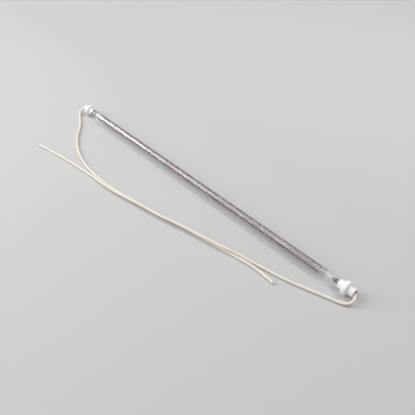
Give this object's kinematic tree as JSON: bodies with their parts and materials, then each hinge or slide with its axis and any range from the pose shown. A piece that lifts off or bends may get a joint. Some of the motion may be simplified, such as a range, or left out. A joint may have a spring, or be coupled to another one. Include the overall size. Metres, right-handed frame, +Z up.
{
  "type": "quartz heating tube",
  "caption": "Clear quartz tube with a coiled resistance wire inside, stepped ceramic end caps and a flexible lead at each end.",
  "frame": {"origin": "on the surface that the part lies on, straight below the middle of the quartz tube", "axes": "+X along the tube towards the right cap, +Z up, the leads lie on the -Y side"},
  "size_m": [0.5128, 0.1091, 0.015],
  "materials": {
    "quartz": "clear, polished",
    "coil_wire": "oxidised",
    "ceramic": "fired, satin",
    "cement": "matt",
    "terminal_steel": "dark, crimped",
    "conductor": "tinned strands",
    "lead_jacket": "matt cream sleeve"
  },
  "bodies": {
    "root": {"quartz_tube": "quartz", "heating_coil": "coil_wire", "right_end_cap": "ceramic", "left_end_cap": "ceramic", "right_cement_ring": "cement", "left_cement_ring": "cement", "right_terminal": "terminal_steel", "left_terminal": "terminal_steel", "right_conductor": "conductor", "left_conductor": "conductor", "right_lead": "lead_jacket", "left_lead": "lead_jacket"}
  },
  "joints": []
}
